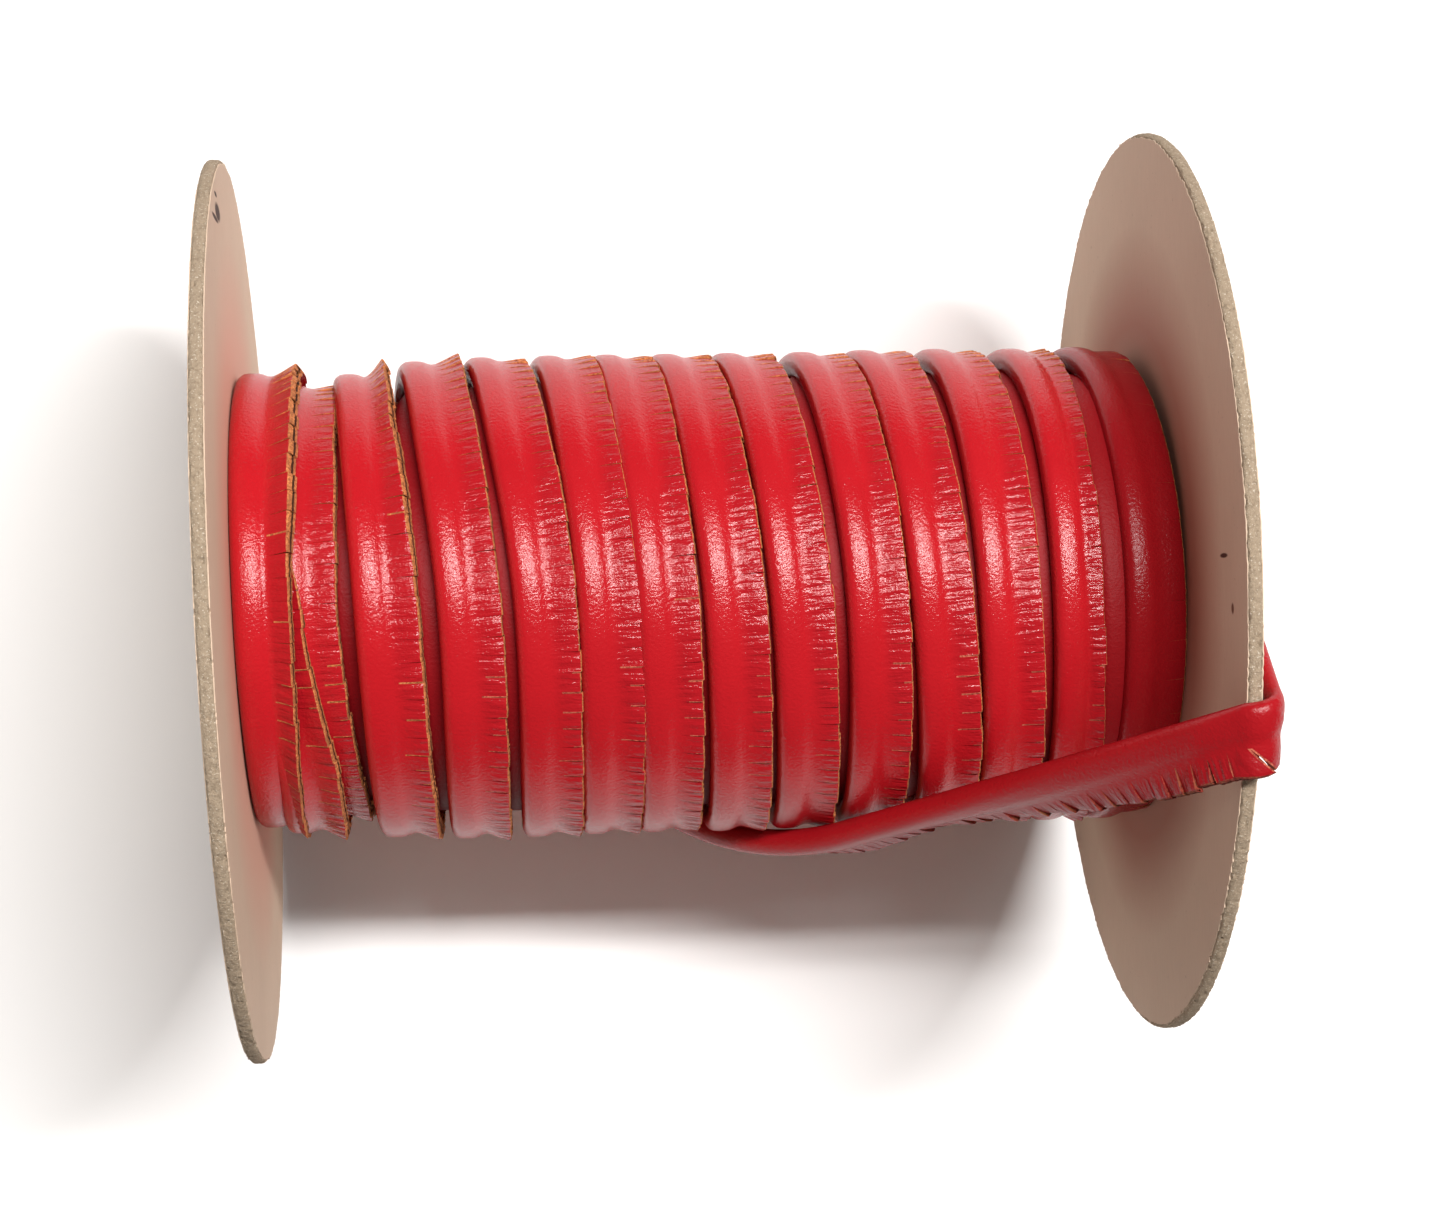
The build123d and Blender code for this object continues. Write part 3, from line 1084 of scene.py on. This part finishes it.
def build_disc(name, low_x, high_x, radius, lean, worn, seed, materials, kind):
    """A disc with the arbor hole: two faces, a rough rim and a rough hole."""
    turn = np.linspace(0, 2 * math.pi, AROUND, endpoint=False)
    rng = np.random.default_rng(seed)
    base = ragged(rng, turn)
    if kind == "board":
        depth = np.array([0.0, 0.12, 0.3, 0.5, 0.7, 0.88, 1.0])
        round_in = np.array([0.32, 0.1, 0.0, 0.0, 0.0, 0.1, 0.32])
        rough = 0.10 * rng.standard_normal((7, AROUND))
        pits = rng.random((7, AROUND)) < 0.02
        rim_r = radius - round_in[:, None] - np.abs(rough) * 1.3 - pits * 0.4
        rim_r = rim_r + base * 0.5 - 0.05
    else:
        depth = np.array([0.0, 1.0])
        fray = 0.13 * rng.standard_normal(AROUND) + base
        nick = (rng.random(AROUND) < 0.012) * rng.random(AROUND) * 0.7
        rim_r = np.stack([radius - 0.4 + fray - nick] * 2)
    rim_r = np.minimum(rim_r - worn * (1 + np.cos(turn)), FLANGE_RADIUS)
    hole = BORE_RADIUS + 0.05 * rng.standard_normal(AROUND) * 0.5
    face_rings = np.linspace(0.02, 0.98, 22)
    rows = []
    for share in face_rings:
        rows.append((low_x, hole + (rim_r[0] - hole) * share))
    for k, d in enumerate(depth):
        rows.append((low_x + (high_x - low_x) * d, rim_r[k]))
    for share in face_rings[::-1]:
        rows.append((high_x, hole + (rim_r[-1] - hole) * share))
    rows.append((high_x, hole))
    rows.append((low_x, hole))
    pts = []
    for x, r in rows:
        y, z = r * np.cos(turn), r * np.sin(turn)
        warp = 0.10 * np.sin(2 * turn + seed) * (r / radius) ** 2
        pts.append(np.stack([x + lean[0] * y + lean[1] * z + warp, y, z], -1))
    points = np.stack(pts)
    count = len(rows)
    index = np.arange(count * AROUND).reshape(count, AROUND)
    below = np.roll(index, -1, axis=0)
    beside, diagonal = np.roll(index, -1, axis=1), np.roll(below, -1, axis=1)
    faces = np.stack([index, beside, diagonal, below], -1).reshape(-1, 4)
    mesh = bpy.data.meshes.new(name)
    mesh.from_pydata((points.reshape(-1, 3) * MM).tolist(), [], faces.tolist())
    mesh.polygons.foreach_set("use_smooth", np.ones(len(faces), bool))
    outward(mesh)
    return put_piece(name, mesh, materials, 40)


for side, sign, lean, worn, seed in (
    ("left", -1, LEFT_LEAN, LEFT_WORN, 3),
    ("right", 1, RIGHT_LEAN, 0.0, 8),
):
    for part, near, far, radius, paint, kind in (
        ("inner_liner", INNER_FACE, BOARD_IN, LINER_RADIUS, liner_paper[side], "liner"),
        ("board", BOARD_IN, BOARD_OUT, FLANGE_RADIUS, chipboard, "board"),
        ("outer_liner", BOARD_OUT, OUTER_FACE, LINER_RADIUS, liner_paper["outer"], "liner"),
    ):
        low_x, high_x = sorted((sign * near, sign * far))
        piece = build_disc(
            f"{side}_{part}_skin", low_x, high_x, radius, lean, worn, seed + len(part),
            [paint], kind,
        )
        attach(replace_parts(piece, f"{side}_flange_{part}"), "spool")

# -------------------------------------------------------------------------------- stage
stage_mesh = bpy.data.meshes.new("table")
work = bmesh.new()
bmesh.ops.create_grid(work, x_segments=8, y_segments=8, size=3.0)
work.to_mesh(stage_mesh)
work.free()
table = Painter("white_table")
table.set(Base_Color=colour(252, 250, 248), Roughness=0.6)
floor = put_piece("table", stage_mesh, [table.material])
floor.location = (0, 0, FLOOR_Z * MM)


def add_area(name, direction, distance, sides, power, tint=(1, 1, 1), glossy=True):
    """A soft rectangular light, long along X, that faces the reel."""
    data = bpy.data.lights.new(name, "AREA")
    data.shape = "RECTANGLE"
    data.size, data.size_y = sides
    data.color = tint
    data.energy = power
    lamp = bpy.data.objects.new(name, data)
    bpy.context.scene.collection.objects.link(lamp)
    towards = Vector(direction).normalized()
    upward = towards.cross(Vector((1, 0, 0))).normalized()
    sideways = upward.cross(towards)
    turned = Matrix((sideways, upward, towards)).transposed().to_4x4()
    lamp.matrix_world = Matrix.Translation(towards * distance) @ turned
    lamp.visible_glossy = glossy


add_area("key_light", (0.2, 0.285, 1.0), 2.2, (1.5, 0.2), 68)
add_area("ceiling", (0.25, 0.15, 0.98), 2.2, (2.6, 2.0), 10, (1, 0.95, 0.9), False)
world = bpy.data.worlds.new("room")
world.use_nodes = True
sky = world.node_tree.nodes["Background"]
sky.inputs["Color"].default_value = (1, 0.90, 0.84, 1)
sky.inputs["Strength"].default_value = 0.10
bpy.context.scene.world = world

# The camera looks down on the reel from above, turned a little to the right.
CAMERA_PLACE = (-0.0422, -0.003, 0.4826)
CAMERA_RIGHT = (0.9951, -0.0251, 0.0955)
CAMERA_BACK = (-0.0955, -0.0006, 0.9954)
camera_data = bpy.data.cameras.new("camera")
camera_data.sensor_width = 36.0
camera_data.lens = 71.13
camera = bpy.data.objects.new("camera", camera_data)
bpy.context.scene.collection.objects.link(camera)
back = Vector(CAMERA_BACK).normalized()
up = back.cross(Vector(CAMERA_RIGHT)).normalized()
right = up.cross(back)
turned = Matrix((right, up, back)).transposed().to_4x4()
camera.matrix_world = Matrix.Translation(CAMERA_PLACE) @ turned
bpy.context.scene.camera = camera
bpy.context.scene.view_settings.view_transform = "Standard"
